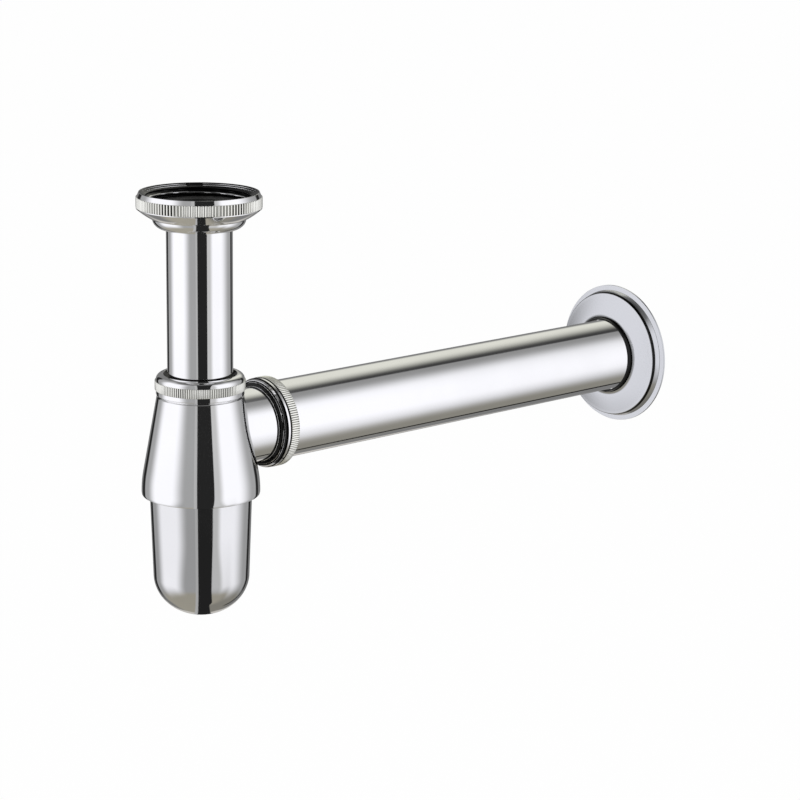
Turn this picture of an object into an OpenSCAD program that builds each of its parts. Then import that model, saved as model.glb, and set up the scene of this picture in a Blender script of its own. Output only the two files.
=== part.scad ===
// Bottle trap for a washbasin: a flared inlet tube under a fluted union nut, a bell-shaped
// body with an unscrewing cup, and a horizontal outlet pipe that ends in a wall flange.
// +Z is up and the outlet pipe runs along +X. The origin is on the trap's axis at the inner
// end of the inlet thread, where the tail of the basin's waste seats on the washer.

/* [Layout] */
// Height of the inlet seat above the outlet pipe's axis
outlet_drop = 92.5; // [75:0.5:140]
// Depth of the dip tube's lower end below the outlet pipe's axis
dip_depth = 56; // [48:0.5:60]

/* [Inlet nut] */
// Major diameter of the inlet thread, a 1 1/4 inch pipe thread
inlet_thread_d = 41.91; // [40:0.01:44]
// Length of full thread above the seat
inlet_thread_l = 3.6; // [3:0.1:8]
// Height of the lead-in above the thread
inlet_lead_h = 1.4; // [0.8:0.1:2.5]
// Wall of the nut outside the thread, to the tips of the flutes
inlet_nut_wall = 3.65; // [2.8:0.05:5]
// Wall of the nut's conical bottom
inlet_cone_wall = 1.4; // [1:0.1:2.2]
// Height of the rounded neck that guides the nut on the tube
inlet_neck_h = 4.5; // [3:0.1:7]
// Number of flutes round the inlet nut
inlet_flutes = 115; // [90:1:140]
// Height of the bevel above the flutes
inlet_bevel_h = 1.8; // [1:0.1:2.4]

/* [Inlet tube] */
// Outer diameter of the inlet tube
tube_d = 26; // [24:0.5:28]
// Wall of the inlet tube
tube_wall = 0.8; // [0.7:0.05:1.2]
// Slope of the flare, measured from the horizontal
flare_angle = 31.4; // [26:0.2:36]
// Thickness of the inlet washer at its rim
inlet_washer_rim = 1; // [0.8:0.1:1.6]

/* [Gland] */
// Wall of the body's neck, from its bore to the top of its thread
neck_wall = 3.3; // [2.8:0.1:4]
// Height of the threaded neck above the body's shoulder
neck_h = 4.2; // [3.8:0.1:6]
// Wall of the gland nut outside its thread, to the tips of the flutes
gland_nut_wall = 1.35; // [1.2:0.05:2]
// Height of the plain lip below the gland nut's flutes
gland_lip_h = 2; // [1.2:0.1:2.4]
// Height of the gland nut's fluted band
gland_band_h = 3.7; // [3:0.1:4.2]
// Thickness of the gland nut's roof
gland_roof_h = 2.2; // [1.8:0.1:3]
// Thickness of the seal's flat head
seal_head_h = 1.4; // [1:0.1:2]
// Thickness of the gland's slip ring
gland_slip_h = 0.8; // [0.6:0.1:1.2]
// Number of flutes round the gland nut and the outlet nut
small_flutes = 120; // [90:1:140]

/* [Body] */
// Outer diameter of the body's skirt
skirt_d = 47.3; // [45:0.1:54]
// Wall of the bell-shaped body
body_wall = 1.6; // [1.3:0.1:2.2]
// Wall of the skirt outside the cup's thread
skirt_wall = 2.8; // [2.4:0.05:3.6]
// Radius of the rounding at the skirt's lower edge
skirt_round = 3; // [1.5:0.1:3.4]
// Height of the seat that the cup's gasket presses on
ledge_h = 1.2; // [1:0.1:2]
// Width of that seat
ledge_w = 2.4; // [2:0.1:3]

/* [Outlet union] */
// Outer diameter of the outlet pipe
pipe_d = 32; // [30:0.5:34]
// Wall of the outlet pipe
pipe_wall = 1; // [0.8:0.05:1.4]
// How much smaller than the pipe's the spigot's radius is
spigot_step = 0.8; // [0.5:0.05:1.2]
// Wall of the spigot
spigot_wall = 1.4; // [1.1:0.05:1.8]
// Length of the spigot between the skirt's reach and its thread
spigot_neck_l = 4.15; // [3:0.05:8]
// Length of the spigot's thread
spigot_thread_l = 4.2; // [3.8:0.1:7]
// Lip that the thread, the collar and the slip ring stand out from the pipe
union_lip = 0.9; // [0.8:0.05:1.4]
// Wall of the outlet nut outside its thread, to the tips of the flutes
outlet_nut_wall = 1.55; // [1.3:0.05:2.2]
// Length of thread that the outlet nut leaves bare
nut_setback = 1.1; // [0.6:0.1:1.4]
// Thickness of the outlet washer
outlet_washer_h = 1.4; // [1:0.1:2]
// Thickness of the collar brazed to the pipe
collar_h = 1; // [0.8:0.1:1.6]
// Thickness of the outlet's slip ring
outlet_slip_h = 0.7; // [0.6:0.1:1.2]
// Thickness of the outlet nut's inward shoulder
outlet_back_h = 1.1; // [0.9:0.1:1.6]
// Length of the outlet nut's fluted band
outlet_band_l = 3.9; // [3:0.1:4.4]

/* [Outlet pipe and wall flange] */
// Length of the outlet pipe
pipe_l = 216.7; // [180:0.1:320]
// How far the pipe's end stands out behind the wall flange
wall_entry = 12; // [10:0.5:30]
// Outer diameter of the wall flange
flange_d = 62.8; // [58:0.2:80]
// Depth of the wall flange
flange_depth = 8.7; // [7.5:0.1:14]
// Thickness of the wall flange's sheet
flange_t = 1; // [0.7:0.05:1.4]
// Width of the wall flange's rolled rim
flange_rim_w = 3.3; // [2.6:0.1:4.5]

/* [Cup] */
// Length of the cup's thread
cup_thread_l = 5.6; // [5:0.1:9]
// Wall of the cup
cup_wall = 1; // [0.8:0.05:1.4]
// Length of the cup's tapered side below the skirt
cup_side_l = 31.7; // [28:0.1:50]
// How much the cup's radius narrows over its side
cup_taper = 1.05; // [0.5:0.05:1.6]
// Height of the cup's rounded bottom
cup_round_h = 16.8; // [14:0.1:20]
// Thickness of the cup's gasket
gasket_h = 1.8; // [1.4:0.1:2.4]

/* [Clearances] */
// Radial gap between mating threads
thread_gap = 0.05; // [0.03:0.01:0.1]
// Gap between faces that turn on each other
turn_gap = 0.05; // [0.03:0.01:0.1]
// Radial gap between the inlet nut and the tube
guide_gap = 0.15; // [0.1:0.01:0.3]
// Radial gap between the tube and the body's neck
neck_gap = 0.3; // [0.2:0.05:0.5]
// Depth of the flutes
flute_depth = 0.35; // [0.2:0.05:0.4]

/* [Hidden] */
$fn = 96;
eps = 0.01;
arc_steps = 6;
chrome = "silver";
rubber = "dimgray";
nylon = "ivory";

// Inlet nut, tube flare and washer, stacked on parallel cones
tube_r = tube_d / 2;
tube_bore_r = tube_r - tube_wall;
inlet_thread_r = inlet_thread_d / 2;
inlet_tip_r = inlet_thread_r + inlet_nut_wall;
inlet_mouth_z = inlet_thread_l + inlet_lead_h;
inlet_mouth_w = 1.25;
inlet_mouth_r = inlet_tip_r - inlet_mouth_w;
relief_r = inlet_thread_r + 0.3;
washer_r = inlet_thread_r - 0.35;
washer_bore_r = tube_r + 0.6;
flare_r = inlet_thread_r - 0.65;
neck_r = tube_r + 5.3;
neck_step = 0.3;
guide_r = tube_r + guide_gap;
function thick(t) = t / cos(flare_angle);
function cone_z(r) = -turn_gap - inlet_washer_rim - (washer_r - r) * tan(flare_angle);
function flare_top_z(r) = cone_z(r) - thick(turn_gap);
function flare_under_z(r) = flare_top_z(r) - thick(tube_wall);
function nut_seat_z(r) = flare_under_z(r) - thick(turn_gap);
function nut_under_z(r) = nut_seat_z(r) - thick(inlet_cone_wall);
band_top_z = inlet_mouth_z - inlet_bevel_h;
band_low_z = nut_under_z(inlet_tip_r);
neck_top_z = nut_under_z(neck_r + neck_step);
neck_low_z = neck_top_z - inlet_neck_h;
neck_round_w = neck_r - guide_r - 0.3;
neck_round_h = inlet_neck_h * 0.62;

// Heights on the trap's axis, counted from the outlet pipe's axis
outlet_z = -outlet_drop;
pipe_r = pipe_d / 2;
spigot_r = pipe_r - spigot_step;
spigot_bore_r = spigot_r - spigot_wall;
body_rise = spigot_r + 1.2;
body_top_z = outlet_z + body_rise;
gland_thread_r = tube_r + neck_gap + neck_wall;
neck_bore_r = tube_r + neck_gap;
shoulder_r = gland_thread_r + 0.75;
skirt_r = skirt_d / 2;
cup_thread_r = skirt_r - skirt_wall;
skirt_bore_r = cup_thread_r + thread_gap;
ledge_r = skirt_bore_r - ledge_w;
ledge_top_z = outlet_z - spigot_bore_r - 0.4;
ledge_seat_z = ledge_top_z - ledge_w - ledge_h;
cup_rim_z = ledge_seat_z - gasket_h - 2 * turn_gap;
skirt_low_z = cup_rim_z - cup_thread_l - 0.45;
skirt_curve_h = 8.5;
skirt_curve_w = 0.8;
skirt_curve_z = skirt_low_z + skirt_round + skirt_curve_h;

// Gland stack above the body's shoulder
gland_low_z = body_top_z + 0.5;
gland_neck_z = body_top_z + neck_h;
seal_top_z = gland_neck_z + turn_gap + seal_head_h;
gland_slip_z = seal_top_z + turn_gap;
gland_roof_z = gland_slip_z + gland_slip_h + turn_gap;
gland_top_z = gland_roof_z + gland_roof_h;
gland_bore_r = gland_thread_r + thread_gap;
gland_tip_r = gland_bore_r + gland_nut_wall;
gland_band_z = gland_low_z + gland_lip_h;
gland_dome_z = gland_band_z + gland_band_h;
gland_mouth_r = tube_r + 1.2;
seal_seat_w = 1.9;
// The rings inside the nuts stay clear of the crests of the nuts' threads
crest_room = 0.45;
gland_ring_r = gland_thread_r - crest_room;
seal_seat_h = 2.4;

// Outlet union, counted along the pipe from the trap's axis
spigot_thread_x = skirt_r + spigot_neck_l;
spigot_thread_r = pipe_r + union_lip;
spigot_end_x = spigot_thread_x + spigot_thread_l;
outlet_washer_x = spigot_end_x + turn_gap;
collar_x = outlet_washer_x + outlet_washer_h + turn_gap;
outlet_slip_x = collar_x + collar_h + turn_gap;
outlet_back_x = outlet_slip_x + outlet_slip_h + turn_gap;
outlet_nut_end_x = outlet_back_x + outlet_back_h;
outlet_nut_x = spigot_thread_x + nut_setback;
outlet_bore_r = spigot_thread_r + thread_gap;
outlet_tip_r = outlet_bore_r + outlet_nut_wall;
outlet_band_x = outlet_nut_end_x - 0.5 - outlet_band_l;
ring_out_r = spigot_thread_r - crest_room;

// Pipe and wall flange
pipe_end_x = collar_x + pipe_l;
flange_back_x = pipe_end_x - wall_entry;
flange_front_x = flange_back_x - flange_depth;
flange_r = flange_d / 2;
hub_r = pipe_r + 0.25;
groove_r = flange_r - flange_rim_w;
groove_x = flange_back_x - flange_depth * 0.3;
rim_crest_r = groove_r + 1.2;
flange_fillet = 3;
mark_back = 9.5;
mark_w = 0.8;
mark_depth = 0.2;
pipe_edge = 0.5;

// Cup
cup_r = cup_thread_r - 0.5;
cup_end_r = cup_r - cup_taper;
cup_round_z = skirt_low_z - cup_side_l;
cup_low_z = cup_round_z - cup_round_h;
dip_z = outlet_z - dip_depth;

// Points on an arc or ellipse, from angle a0 to angle a1
function arc(c, rx, ry, a0, a1, n = arc_steps) =
    [for (i = [0:n]) let (a = a0 + (a1 - a0) * i / n) [c[0] + rx * cos(a), c[1] + ry * sin(a)]];

// Solid of revolution about Z from points of radius and height
module lathe(points) {
    rotate_extrude() polygon(points);
}

// The same about the outlet pipe's axis, with height measured along +X
module lathe_x(points) {
    translate([0, 0, outlet_z]) rotate([0, 90, 0]) lathe(points);
}

// Disc whose edge carries straight flutes, each a flat land and a flat-bottomed groove
module fluted_disc(tip_r, flutes, height) {
    root_r = tip_r - flute_depth;
    pitch = 360 / flutes;
    linear_extrude(height)
        polygon([for (i = [0:flutes - 1]) each [
            for (p = [[tip_r, -0.24], [tip_r, 0.24], [root_r, 0.4], [root_r, 0.6]])
                p[0] * [cos((i + p[1]) * pitch), sin((i + p[1]) * pitch)]
        ]]);
}

// Union nut that screws on the waste's tail, with a conical seat for the tube's flare
module inlet_nut() {
    core_r = inlet_tip_r - flute_depth - 0.1;
    color(chrome) difference() {
        union() {
            lathe(concat(
                [[0, inlet_mouth_z], [0, neck_low_z], [guide_r + 0.3, neck_low_z]],
                arc([neck_r - neck_round_w, neck_low_z + neck_round_h],
                    neck_round_w, neck_round_h, -90, 0),
                [[neck_r, neck_top_z], [neck_r + neck_step, neck_top_z],
                 [core_r, nut_under_z(core_r)], [core_r, band_top_z + 0.1],
                 [inlet_mouth_r + 0.15, inlet_mouth_z]]));
            translate([0, 0, band_low_z + 0.15])
                fluted_disc(inlet_tip_r, inlet_flutes, band_top_z - band_low_z - 0.15);
            lathe([[0, band_low_z + 0.3], [0, band_low_z - 0.1], [core_r, nut_under_z(core_r)],
                   [inlet_tip_r - 0.1, band_low_z - 0.05], [inlet_tip_r - 0.1, band_low_z + 0.3]]);
        }
        lathe([[0, inlet_mouth_z + 1], [0, neck_low_z - 1], [guide_r, neck_low_z - 1],
               [guide_r, nut_seat_z(guide_r)], [relief_r, nut_seat_z(relief_r)], [relief_r, 0],
               [inlet_thread_r, 0], [inlet_thread_r, inlet_thread_l],
               [inlet_mouth_r, inlet_mouth_z], [inlet_mouth_r, inlet_mouth_z + 1]]);
    }
}

// Moulded cone washer between the flare and the waste's tail
module inlet_washer() {
    color(rubber) lathe([
        [washer_bore_r, -turn_gap], [washer_r, -turn_gap],
        [washer_r, cone_z(washer_r)], [washer_bore_r, cone_z(washer_bore_r)]]);
}

// Drawn tube with its top end flared to the nut's cone
module inlet_tube() {
    color(chrome) lathe([
        [tube_bore_r, flare_top_z(tube_bore_r)], [flare_r, flare_top_z(flare_r)],
        [flare_r, flare_under_z(flare_r)], [tube_r, flare_under_z(tube_r)],
        [tube_r, dip_z + 0.3], [tube_r - 0.3, dip_z], [tube_bore_r, dip_z]]);
}

// Fluted nut that squeezes the seal on the inlet tube
module gland_nut() {
    core_r = gland_tip_r - flute_depth - 0.1;
    dome_w = 2.4;
    dome_h = gland_top_z - gland_dome_z - 0.35;
    color(chrome) difference() {
        union() {
            lathe(concat(
                [[0, gland_low_z], [core_r - 0.25, gland_low_z], [core_r, gland_low_z + 0.3],
                 [core_r, gland_dome_z + 0.35]],
                arc([core_r - dome_w, gland_dome_z + 0.35], dome_w, dome_h, 0, 90),
                [[0, gland_top_z]]));
            translate([0, 0, gland_band_z]) fluted_disc(gland_tip_r, small_flutes, gland_band_h);
        }
        lathe([[0, gland_low_z - 1], [gland_bore_r, gland_low_z - 1], [gland_bore_r, gland_roof_z],
               [tube_r + guide_gap, gland_roof_z], [tube_r + guide_gap, gland_top_z - 0.8],
               [gland_mouth_r, gland_top_z], [gland_mouth_r, gland_top_z + 1],
               [0, gland_top_z + 1]]);
    }
}

// Nylon ring that lets the gland nut turn without dragging the seal
module gland_slip_ring() {
    color(nylon) translate([0, 0, gland_slip_z]) difference() {
        cylinder(r = gland_ring_r, h = gland_slip_h);
        translate([0, 0, -eps]) cylinder(r = tube_r + 0.1, h = gland_slip_h + 2 * eps);
    }
}

// Rubber seal with a flat head and a tapered foot that wedges into the neck
module gland_seal() {
    foot_z = gland_neck_z - seal_seat_h + 0.5;
    color(rubber) lathe([
        [tube_r + turn_gap, foot_z], [neck_bore_r + seal_seat_w * 0.21 - turn_gap, foot_z],
        [neck_bore_r + seal_seat_w - turn_gap, gland_neck_z + turn_gap],
        [gland_ring_r, gland_neck_z + turn_gap], [gland_ring_r, seal_top_z],
        [tube_r + turn_gap, seal_top_z]]);
}

// Outside of the bell: threaded neck, sloping shoulder, curved skirt and rounded lower edge
module bell() {
    slope = (skirt_r - skirt_curve_w - shoulder_r) / (body_top_z - 0.4 - skirt_curve_z);
    lean = atan(slope);
    bow_r = skirt_curve_h / sin(lean);
    lathe(concat(
        [[0, gland_neck_z], [0, skirt_low_z], [skirt_r - skirt_round * 0.75, skirt_low_z]],
        arc([skirt_r - skirt_round * 0.75, skirt_low_z + skirt_round],
            skirt_round * 0.75, skirt_round, -90, 0),
        [for (i = [1:arc_steps - 1]) let (a = lean * i / arc_steps)
            [skirt_r - skirt_curve_w * (1 - cos(a)) / (1 - cos(lean)),
             skirt_low_z + skirt_round + bow_r * sin(a)]],
        [[skirt_r - skirt_curve_w, skirt_curve_z], [shoulder_r, body_top_z - 0.4],
         [shoulder_r - 0.35, body_top_z], [gland_thread_r, body_top_z],
         [gland_thread_r, gland_neck_z - 0.4], [gland_thread_r - 0.4, gland_neck_z]]));
}

// Inside of the bell: seal seat, neck bore, chamber, gasket seat and cup thread
module bell_inside() {
    roof_z = body_top_z - 2;
    roof_r = shoulder_r - body_wall;
    wide_r = min(skirt_bore_r, skirt_r - skirt_curve_w - body_wall - 0.6);
    lathe([
        [0, gland_neck_z + 1], [0, skirt_low_z - 1], [skirt_bore_r + 0.4, skirt_low_z - 1],
        [skirt_bore_r + 0.4, skirt_low_z], [skirt_bore_r, skirt_low_z + 0.4],
        [skirt_bore_r, ledge_seat_z], [ledge_r, ledge_seat_z], [ledge_r, ledge_seat_z + ledge_h],
        [wide_r, ledge_seat_z + ledge_h + wide_r - ledge_r],
        [roof_r, roof_z - 0.8], [roof_r - 0.8, roof_z], [neck_bore_r, roof_z],
        [neck_bore_r, gland_neck_z - seal_seat_h],
        [neck_bore_r + seal_seat_w, gland_neck_z], [neck_bore_r + seal_seat_w, gland_neck_z + 1]]);
}

// Bell-shaped body, open below for the cup and at the side for the outlet
module trap_body() {
    color(chrome) difference() {
        bell();
        bell_inside();
        translate([ledge_r / 2, 0, outlet_z]) rotate([0, 90, 0])
            cylinder(r = spigot_bore_r, h = skirt_r);
    }
}

// Outlet spigot, coped to the bell where it is brazed on, with a threaded end
module outlet_spigot() {
    color(chrome) difference() {
        lathe_x([
            [spigot_bore_r, spigot_bore_r / 2], [spigot_r, spigot_bore_r / 2],
            [spigot_r, spigot_thread_x], [spigot_thread_r - 0.3, spigot_thread_x],
            [spigot_thread_r, spigot_thread_x + 0.3], [spigot_thread_r, spigot_end_x - 0.3],
            [spigot_thread_r - 0.3, spigot_end_x], [spigot_bore_r, spigot_end_x]]);
        bell();
    }
}

// Ring about the outlet pipe's axis
module pipe_ring(outer_r, inner_r, start_x, thickness) {
    lathe_x([[inner_r, start_x], [outer_r, start_x],
             [outer_r, start_x + thickness], [inner_r, start_x + thickness]]);
}

// Flat rubber washer on the spigot's end
module outlet_washer() {
    color(rubber) pipe_ring(ring_out_r, spigot_bore_r - 0.2, outlet_washer_x, outlet_washer_h);
}

// Union nut that draws the pipe's collar against the washer
module outlet_nut() {
    core_r = outlet_tip_r - flute_depth - 0.1;
    plain_r = outlet_tip_r - 0.12;
    color(chrome) difference() {
        union() {
            lathe_x([
                [0, outlet_nut_x], [outlet_bore_r + 0.6, outlet_nut_x],
                [plain_r, outlet_nut_x + 0.9], [plain_r, outlet_band_x - 0.3],
                [core_r, outlet_band_x - 0.3], [core_r, outlet_nut_end_x - 0.35],
                [core_r - 0.35, outlet_nut_end_x], [0, outlet_nut_end_x]]);
            translate([outlet_band_x, 0, outlet_z]) rotate([0, 90, 0])
                fluted_disc(outlet_tip_r, small_flutes, outlet_band_l);
        }
        lathe_x([
            [0, outlet_nut_x - 1], [outlet_bore_r + 0.4, outlet_nut_x - 1],
            [outlet_bore_r + 0.4, outlet_nut_x], [outlet_bore_r, outlet_nut_x + 0.4],
            [outlet_bore_r, outlet_back_x], [pipe_r + turn_gap + 0.05, outlet_back_x],
            [pipe_r + turn_gap + 0.05, outlet_nut_end_x + 1], [0, outlet_nut_end_x + 1]]);
    }
}

// Nylon ring between the outlet nut's shoulder and the collar
module outlet_slip_ring() {
    color(nylon) pipe_ring(ring_out_r, pipe_r + turn_gap, outlet_slip_x, outlet_slip_h);
}

// Straight outlet pipe with a turned ring that marks how far its end goes into the wall
module outlet_pipe() {
    mark_x = pipe_end_x - mark_back;
    color(chrome) lathe_x([
        [pipe_r - pipe_wall, collar_x], [pipe_r, collar_x],
        [pipe_r, mark_x - mark_w], [pipe_r - mark_depth, mark_x - mark_w],
        [pipe_r - mark_depth, mark_x], [pipe_r, mark_x],
        [pipe_r, pipe_end_x - pipe_edge], [pipe_r - pipe_edge, pipe_end_x],
        [pipe_r - pipe_wall, pipe_end_x]]);
}

// Collar brazed round the pipe's trap end
module outlet_collar() {
    color(chrome) pipe_ring(ring_out_r, pipe_r, collar_x, collar_h);
}

// Front of the wall flange: hub lip, fillet, domed dish, groove and rolled rim
function flange_face() = let(
    fillet = [hub_r + 0.75 + flange_fillet, flange_front_x + 0.1],
    dish_start = fillet + flange_fillet * [cos(109), sin(109)],
    edge = [groove_r - 1.6, groove_x],
    dish_end = edge + 1.5 * [cos(63), -sin(63)])
    concat(
        [[hub_r, flange_front_x], [hub_r + 0.75, flange_front_x]],
        arc(fillet, flange_fillet, flange_fillet, 180, 109),
        [for (i = [1:7]) let (s = i / 8)
            dish_start + (dish_end - dish_start) * s - [0, s * (1 - s)]],
        arc(edge, 1.5, 1.5, -63, 0),
        arc([rim_crest_r, groove_x], rim_crest_r - groove_r - 0.2, 0.7, 180, 270),
        arc([rim_crest_r, groove_x + 1.7], flange_r - rim_crest_r, 2.4, -80, 0, 7));

// Pressed wall flange, open at the back, that slides on the pipe
module wall_flange() {
    color(chrome) difference() {
        lathe_x(concat(flange_face(), [[flange_r, flange_back_x], [hub_r, flange_back_x]]));
        lathe_x(concat(
            [[hub_r - 1, flange_back_x + 1], [hub_r - 1, flange_front_x + 3.6],
             [hub_r + 1.2, flange_front_x + 3.6],
             [groove_r - 1.2, groove_x - 1.3 + flange_t], [groove_r - 0.3, groove_x + flange_t],
             [groove_r + 0.5, groove_x + flange_t], [rim_crest_r, groove_x - 0.6 + flange_t]],
            arc([rim_crest_r, groove_x + 1.7], flange_r - rim_crest_r - flange_t,
                2.3 - flange_t, -60, 0, 5),
            [[flange_r - flange_t, flange_back_x + 1]]));
    }
}

// Line of the cup's side and bottom, inset by t
function cup_line(t) = concat(
    [[cup_r - t, skirt_low_z + 0.2], [cup_end_r - t, cup_round_z]],
    arc([0, cup_round_z], cup_end_r - t, cup_round_h - t, 0, -90, 12));

// Cup that collects the dirt and unscrews downwards
module cup() {
    color(chrome) difference() {
        lathe(concat(
            [[0, cup_rim_z], [cup_thread_r - 0.4, cup_rim_z],
             [cup_thread_r, cup_rim_z - 0.4], [cup_thread_r, skirt_low_z + 0.7]],
            cup_line(0)));
        lathe(concat([[0, cup_rim_z + 1], [cup_r - cup_wall, cup_rim_z + 1]], cup_line(cup_wall)));
    }
}

// Flat rubber gasket between the cup's rim and the seat in the bell
module cup_gasket() {
    color(rubber) translate([0, 0, cup_rim_z + turn_gap]) difference() {
        cylinder(r = cup_thread_r - 0.75, h = gasket_h);
        translate([0, 0, -eps]) cylinder(r = ledge_r + 0.1, h = gasket_h + 2 * eps);
    }
}

inlet_nut();
inlet_washer();
inlet_tube();
gland_nut();
gland_slip_ring();
gland_seal();
trap_body();
outlet_spigot();
outlet_washer();
outlet_nut();
outlet_slip_ring();
outlet_pipe();
outlet_collar();
wall_flange();
cup();
cup_gasket();
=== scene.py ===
# %% [markdown]
# # A chrome bottle trap for a washbasin
# A bottle trap hangs under a washbasin. A fluted nut holds it to the basin's waste, a tube
# dips into a bell-shaped body with a cup below it, and a pipe leads from the body to a flange
# on the wall. Almost all of it is chrome-plated brass that was turned or drawn, so it is round
# about two axes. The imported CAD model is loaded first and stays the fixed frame: each chrome
# piece is turned again here with finer curves, cut flutes and real threads, in the place where
# the CAD has it, and the hidden rubber and nylon rings keep their CAD shape.

# %% Load the fixed frame
import math

import bmesh
import bpy
import numpy as np
from mathutils import Matrix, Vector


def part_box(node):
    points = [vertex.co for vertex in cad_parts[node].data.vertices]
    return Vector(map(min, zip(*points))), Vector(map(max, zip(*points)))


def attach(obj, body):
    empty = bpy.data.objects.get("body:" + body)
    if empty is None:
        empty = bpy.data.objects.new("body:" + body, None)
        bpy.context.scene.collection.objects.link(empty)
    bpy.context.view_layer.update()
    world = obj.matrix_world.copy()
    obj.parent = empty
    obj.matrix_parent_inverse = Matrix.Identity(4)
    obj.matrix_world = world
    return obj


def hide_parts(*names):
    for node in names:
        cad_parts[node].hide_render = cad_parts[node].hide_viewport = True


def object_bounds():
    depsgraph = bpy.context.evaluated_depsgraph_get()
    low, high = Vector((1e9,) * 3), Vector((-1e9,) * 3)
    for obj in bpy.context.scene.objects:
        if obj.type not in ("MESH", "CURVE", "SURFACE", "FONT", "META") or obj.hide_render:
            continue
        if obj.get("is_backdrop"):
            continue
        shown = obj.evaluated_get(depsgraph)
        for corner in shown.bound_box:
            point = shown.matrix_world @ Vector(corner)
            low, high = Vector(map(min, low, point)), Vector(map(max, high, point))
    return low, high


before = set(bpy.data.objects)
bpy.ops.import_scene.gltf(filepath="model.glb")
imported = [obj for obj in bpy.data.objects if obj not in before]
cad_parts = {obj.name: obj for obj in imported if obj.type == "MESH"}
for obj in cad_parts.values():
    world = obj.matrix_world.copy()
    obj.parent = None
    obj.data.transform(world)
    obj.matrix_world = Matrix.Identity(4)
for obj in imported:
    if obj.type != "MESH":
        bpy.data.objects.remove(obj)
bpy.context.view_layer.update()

MM = 0.001

# %% [markdown]
# ## Camera
# A product photographer stands well back with a long lens, so that the tube stays straight and
# the long pipe shrinks only a little towards the wall. The camera looks down on the trap from
# its front left. Its place and angles are given as plain numbers in metres and radians, and
# the lens in millimetres on a 36 mm sensor.

# %% Place the camera
LENS = 107.08
CAMERA_PLACE = (-0.54940, -0.73529, 0.15092)
LOOK_RIGHT, LOOK_DOWN, LEAN = 0.72792, 0.24442, 0.01436

camera_data = bpy.data.cameras.new("camera")
camera_data.sensor_width = 36
camera_data.lens = LENS
camera_data.clip_start, camera_data.clip_end = 0.05, 100
camera = bpy.data.objects.new("camera", camera_data)
camera.matrix_world = (
    Matrix.Translation(CAMERA_PLACE)
    @ Matrix.Rotation(-LOOK_RIGHT, 4, "Z")
    @ Matrix.Rotation(math.pi / 2 - LOOK_DOWN, 4, "X")
    @ Matrix.Rotation(LEAN, 4, "Z")
)
bpy.context.collection.objects.link(camera)
bpy.context.scene.camera = camera
print("camera:", LENS, "mm lens")

# %% [markdown]
# ## Shader nodes as sums
# A material is a small graph. Written link by link, a sum such as 1 - mask takes four lines and
# hides what it means. One class wraps a socket, so that the usual operators add Math nodes, and
# its method node adds any other node from its type, its settings and its inputs.

# %% A wire between nodes
class Wire:
    """An output socket in a node tree. Without a socket it stands for the empty tree."""

    def __init__(self, tree, socket=None):
        self.tree, self.socket = tree, socket

    def node(self, kind, settings=None, inputs=None, output=0):
        made = self.tree.nodes.new(kind)
        for key, value in (settings or {}).items():
            setattr(made, key, value)
        for key, value in (inputs or {}).items():
            if isinstance(value, Wire):
                self.tree.links.new(value.socket, made.inputs[key])
            else:
                made.inputs[key].default_value = value
        return Wire(self.tree, made.outputs[output] if made.outputs else None)

    def math(self, operation, first, second=0.0):
        return self.node("ShaderNodeMath", {"operation": operation}, {0: first, 1: second})

    def __add__(self, other):
        return self.math("ADD", self, other)

    def __sub__(self, other):
        return self.math("SUBTRACT", self, other)

    def __rsub__(self, other):
        return self.math("SUBTRACT", other, self)

    def __mul__(self, other):
        return self.math("MULTIPLY", self, other)

    __radd__, __rmul__ = __add__, __mul__


def empty_tree(owner):
    """Clears the nodes of a material or world and returns a wire to start from."""
    owner.use_nodes = True
    owner.node_tree.nodes.clear()
    return Wire(owner.node_tree)


def eased(value, start, end):
    """0 below start, 1 above end and a smooth rise between them."""
    return value.node("ShaderNodeMapRange", {"interpolation_type": "SMOOTHSTEP"},
                      {"Value": value, "From Min": start, "From Max": end})


def mixed(mask, first, second):
    """The first colour where the mask is 0 and the second where it is 1."""
    return mask.node("ShaderNodeMix", {"data_type": "RGBA"},
                     {"Factor": mask, 6: first, 7: second}, output=2)


def grey(level, warmth=0.0):
    """A grey of this brightness, a little warmer or, below 0, a little bluer."""
    return (level * (1 + warmth), level, level * (1 - 1.5 * warmth), 1)


print("wires ready")

# %% [markdown]
# ## Chrome
# Decorative chrome is a mirror a few tenths of a micrometre thick over polished nickel and
# brass. It has almost no colour of its own. What makes it look real is what it leaves imperfect:
# the polish varies from place to place, fine lines run round the piece from the polishing
# wheel, and the surface waves very slightly. So the metal is nearly white, its roughness drifts
# with a broad noise, and two faint bumps carry the lines and the waves.

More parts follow.
